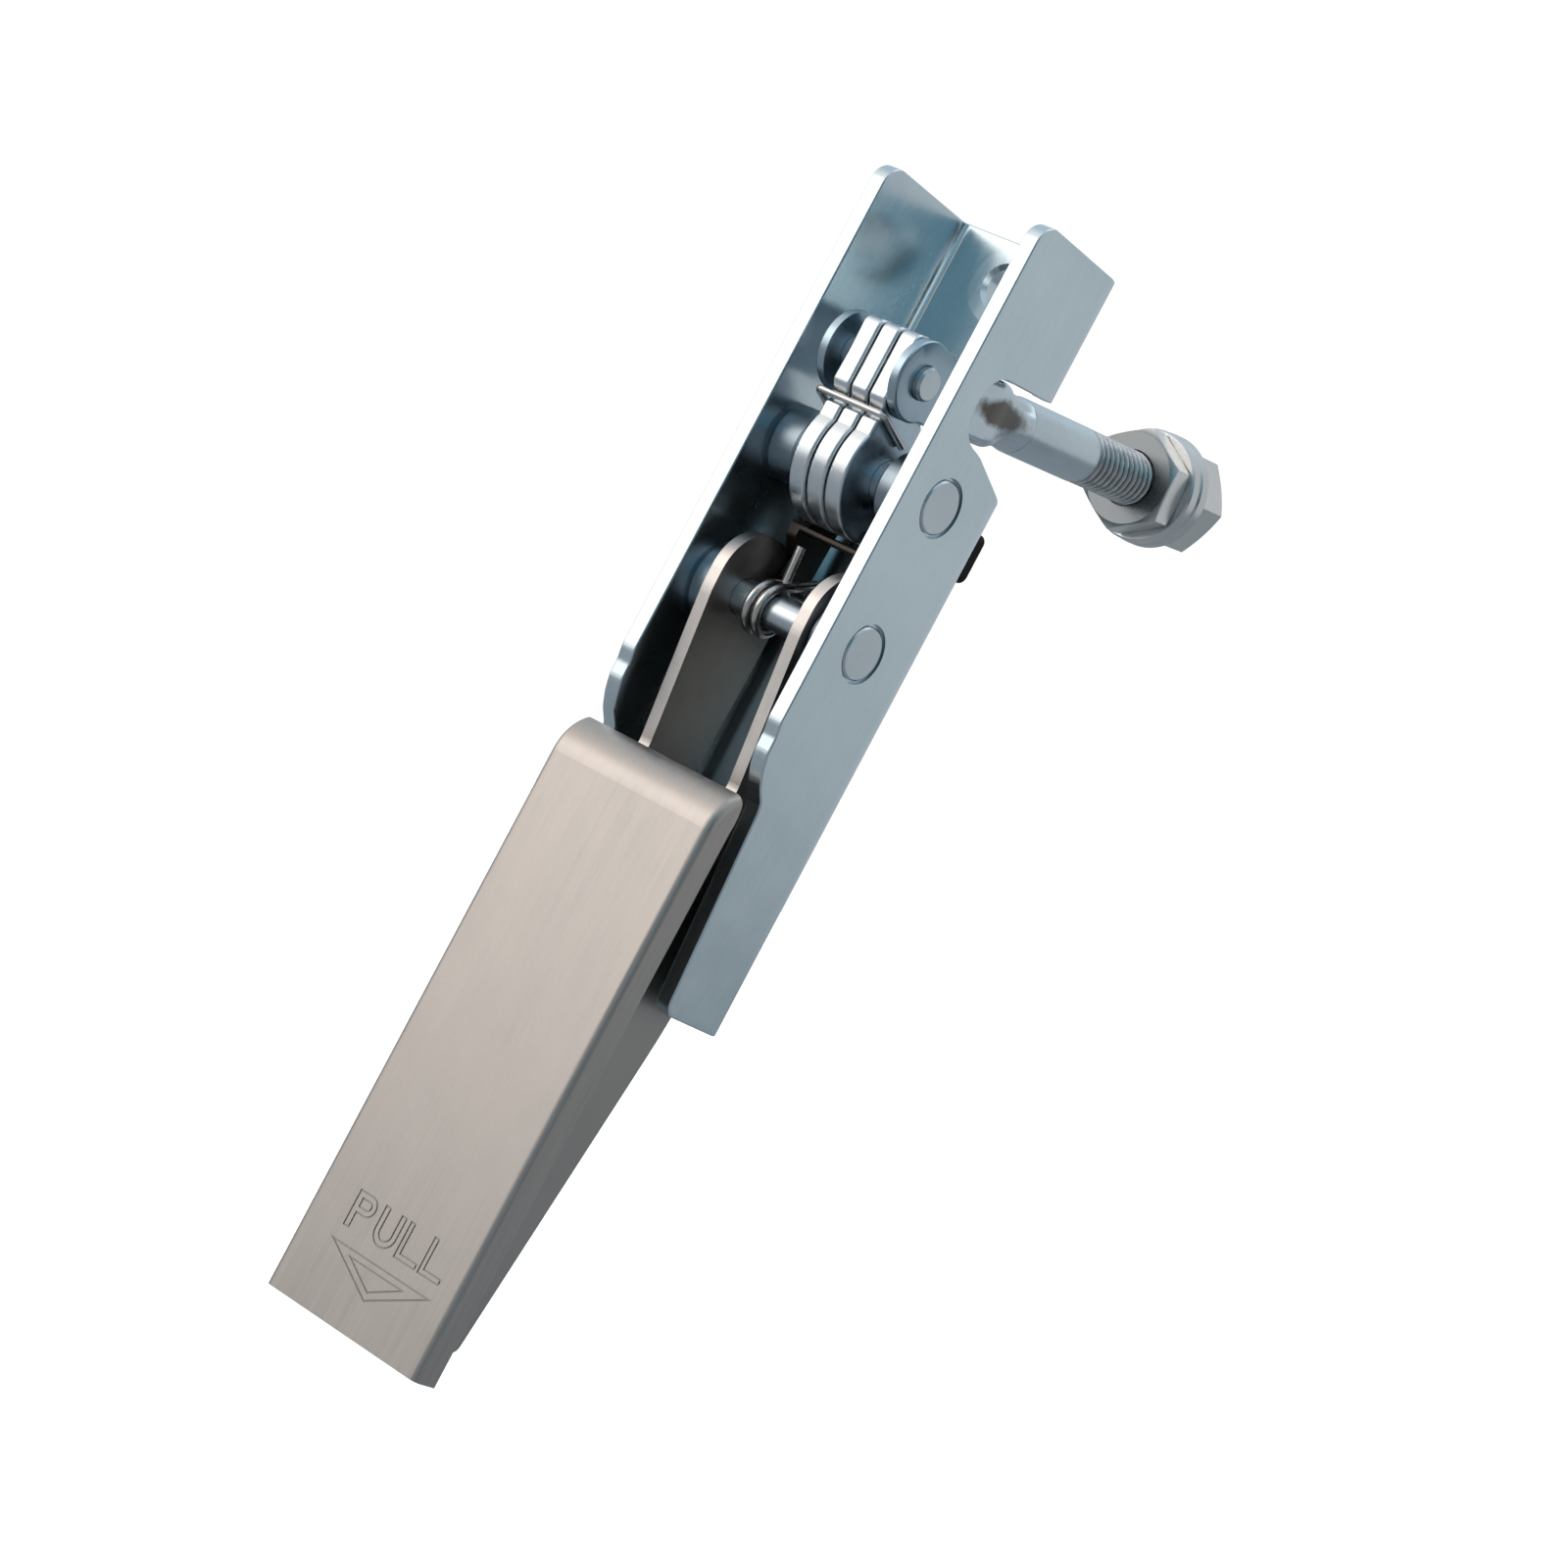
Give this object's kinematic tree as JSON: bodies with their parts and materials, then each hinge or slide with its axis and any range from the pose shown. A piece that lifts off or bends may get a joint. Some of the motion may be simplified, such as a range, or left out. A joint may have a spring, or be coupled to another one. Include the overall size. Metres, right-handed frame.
{
  "type": "cabinet latch",
  "caption": "Recessed lever latch: a channel-shaped housing, a pull lever with a brushed cover, and a crank that draws an adjustable threaded rod.",
  "frame": {"origin": "centre of the line between the two fixing threads, on the housing's back face", "axes": "+Z along the housing with the lever's free end towards -Z, +Y out of the back face the way the rod points, so the front with the lever is -Y, +X across to the right seen from the front"},
  "size_m": [0.0216, 0.0662, 0.1248],
  "materials": {
    "zinc_sheet": "zinc plated, cool blue-grey, fine rolled grain",
    "arm_steel": "stamped steel sheet, warm dark grey in the housing's shade",
    "cover_stainless": "stainless sheet, brushed lengthwise",
    "crank_steel": "stamped and tumbled steel, bright",
    "pin_steel": "turned steel, bright, heads set flush and riveted",
    "collar_steel": "turned steel, zinc plated",
    "link_steel": "stamped steel, zinc plated",
    "rod_zinc": "zinc plated, smooth shank and rolled thread",
    "nut_zinc": "zinc plated, satin flats",
    "washer_zinc": "zinc plated, stamped",
    "spring_steel": "bright drawn wire",
    "buffer_black": "black, matt"
  },
  "bodies": {
    "housing": {"housing_channel": "zinc_sheet", "lever_pivot_pin": "pin_steel", "crank_pivot_pin": "pin_steel", "lever_spacer_left": "collar_steel", "lever_spacer_right": "collar_steel", "crank_collar_left": "collar_steel", "crank_collar_right": "collar_steel", "rear_buffer": "buffer_black", "torsion_spring": "spring_steel"},
    "lever": {"lever_bracket": "arm_steel", "lever_cover": "cover_stainless", "link_pin_lower": "pin_steel"},
    "crank": {"crank_plate_left": "crank_steel", "crank_plate_middle": "crank_steel", "crank_plate_right": "crank_steel", "link_pin_upper": "pin_steel", "rod_pivot_pin": "pin_steel", "wire_clip": "spring_steel"},
    "link": {"link_yoke": "link_steel"},
    "rod": {"fork_rod": "rod_zinc", "thin_nut": "nut_zinc", "front_washer": "washer_zinc", "rear_washer": "washer_zinc", "rear_nut": "nut_zinc"}
  },
  "joints": [
    {"name": "lever_hinge", "type": "hinge", "parent": "housing", "child": "lever", "pos_m": [0, -0.01, -0.0024], "axis": [-1, 0, 0], "range_deg": [0, 55], "stiffness_Nm_per_rad": 0.03, "springref_deg": -20.05, "deforming": ["torsion_spring"]},
    {"name": "crank_hinge", "type": "hinge", "parent": "housing", "child": "crank", "pos_m": [0, -0.01, 0.01348], "axis": [-1, 0, 0], "range_deg": [0, 48]},
    {"name": "link_hinge", "type": "hinge", "parent": "lever", "child": "link", "pos_m": [0, -0.00549, -0.00076], "axis": [-1, 0, 0], "range_deg": [-56, 0]},
    {"name": "rod_hinge", "type": "hinge", "parent": "crank", "child": "rod", "pos_m": [0, -0.0137, 0.02344], "axis": [-1, 0, 0], "range_deg": [-48, 0]}
  ],
  "couplings": [
    {"joint": "crank_hinge", "follows": "lever_hinge", "ratio": 0.857},
    {"joint": "link_hinge", "follows": "lever_hinge", "ratio": -0.98},
    {"joint": "rod_hinge", "follows": "lever_hinge", "ratio": -0.857}
  ]
}
